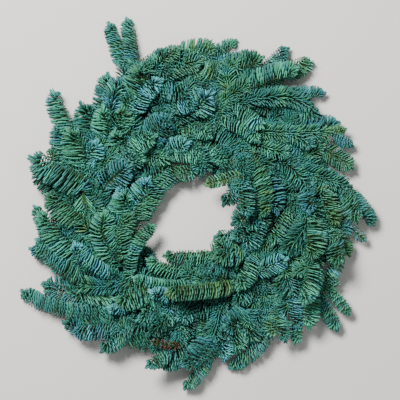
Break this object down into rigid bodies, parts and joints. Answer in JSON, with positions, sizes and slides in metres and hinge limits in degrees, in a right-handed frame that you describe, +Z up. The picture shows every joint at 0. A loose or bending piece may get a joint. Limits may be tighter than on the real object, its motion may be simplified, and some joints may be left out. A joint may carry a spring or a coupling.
{
  "type": "evergreen wreath",
  "caption": "Fresh evergreen wreath: bunches of fir sprigs bound clockwise round a double-rail wire ring, lying on its back, with an open centre.",
  "frame": {"origin": "bottom centre of the box of the whole wreath as it lies on its back", "axes": "+Z up, out of the wreath's face; +Y towards the top of the wreath; +X to its right, seen from above"},
  "size_m": [0.5448, 0.5672, 0.0686],
  "materials": {
    "fir_foliage": "matt waxy blue-green needles on woody twigs",
    "ring_wire": "green-coated steel wire, satin",
    "reel_wire": "green-lacquered thin iron wire, satin"
  },
  "bodies": {
    "root": {"binding_wire": "reel_wire", "bunch_01_sprig_1": "fir_foliage", "bunch_01_sprig_2": "fir_foliage", "bunch_01_sprig_3": "fir_foliage", "bunch_01_sprig_4": "fir_foliage", "bunch_02_sprig_1": "fir_foliage", "bunch_02_sprig_2": "fir_foliage", "bunch_02_sprig_3": "fir_foliage", "bunch_02_sprig_4": "fir_foliage", "bunch_03_sprig_1": "fir_foliage", "bunch_03_sprig_2": "fir_foliage", "bunch_03_sprig_3": "fir_foliage", "bunch_03_sprig_4": "fir_foliage", "bunch_04_sprig_1": "fir_foliage", "bunch_04_sprig_2": "fir_foliage", "bunch_04_sprig_3": "fir_foliage", "bunch_04_sprig_4": "fir_foliage", "bunch_05_sprig_1": "fir_foliage", "bunch_05_sprig_2": "fir_foliage", "bunch_05_sprig_3": "fir_foliage", "bunch_05_sprig_4": "fir_foliage", "bunch_06_sprig_1": "fir_foliage", "bunch_06_sprig_2": "fir_foliage", "bunch_06_sprig_3": "fir_foliage", "bunch_06_sprig_4": "fir_foliage", "bunch_07_sprig_1": "fir_foliage", "bunch_07_sprig_2": "fir_foliage", "bunch_07_sprig_3": "fir_foliage", "bunch_07_sprig_4": "fir_foliage", "bunch_08_sprig_1": "fir_foliage", "bunch_08_sprig_2": "fir_foliage", "bunch_08_sprig_3": "fir_foliage", "bunch_08_sprig_4": "fir_foliage", "bunch_09_sprig_1": "fir_foliage", "bunch_09_sprig_2": "fir_foliage", "bunch_09_sprig_3": "fir_foliage", "bunch_09_sprig_4": "fir_foliage", "bunch_10_sprig_1": "fir_foliage", "bunch_10_sprig_2": "fir_foliage", "bunch_10_sprig_3": "fir_foliage", "bunch_10_sprig_4": "fir_foliage", "bunch_11_sprig_1": "fir_foliage", "bunch_11_sprig_2": "fir_foliage", "bunch_11_sprig_3": "fir_foliage", "bunch_11_sprig_4": "fir_foliage", "bunch_12_sprig_1": "fir_foliage", "bunch_12_sprig_2": "fir_foliage", "bunch_12_sprig_3": "fir_foliage", "bunch_12_sprig_4": "fir_foliage", "bunch_13_sprig_1": "fir_foliage", "bunch_13_sprig_2": "fir_foliage", "bunch_13_sprig_3": "fir_foliage", "bunch_13_sprig_4": "fir_foliage", "bunch_14_sprig_1": "fir_foliage", "bunch_14_sprig_2": "fir_foliage", "bunch_14_sprig_3": "fir_foliage", "bunch_14_sprig_4": "fir_foliage", "ring_inner_wire": "ring_wire", "ring_outer_wire": "ring_wire", "ring_zigzag_wire": "ring_wire"}
  },
  "joints": []
}
